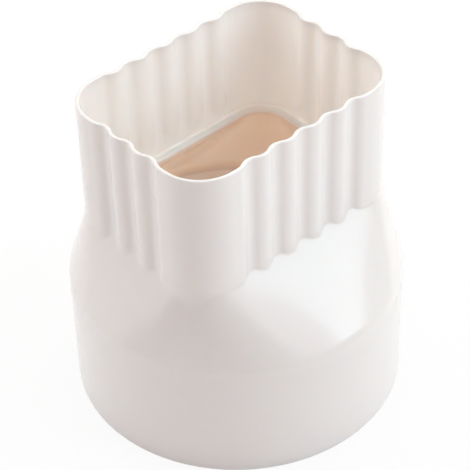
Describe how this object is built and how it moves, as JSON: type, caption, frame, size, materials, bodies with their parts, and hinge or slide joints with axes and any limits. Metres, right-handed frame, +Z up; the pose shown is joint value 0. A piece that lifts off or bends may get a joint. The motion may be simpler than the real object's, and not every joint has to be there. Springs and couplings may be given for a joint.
{
  "type": "downspout adapter",
  "caption": "One-piece plastic adapter: a fluted rectangular downspout socket on top runs through a square-to-round shoulder into a round hub that slides over a drain pipe.",
  "frame": {"origin": "middle of the hub's lower rim, on the surface that the adapter stands on", "axes": "+Z up along the water's way, from the round hub to the rectangular socket; +X along the socket's long sides"},
  "size_m": [0.113, 0.113, 0.1164],
  "materials": {
    "white_plastic": "warm white rigid plastic, semi-gloss as moulded"
  },
  "bodies": {
    "root": {"adapter_body": "white_plastic"}
  },
  "joints": []
}
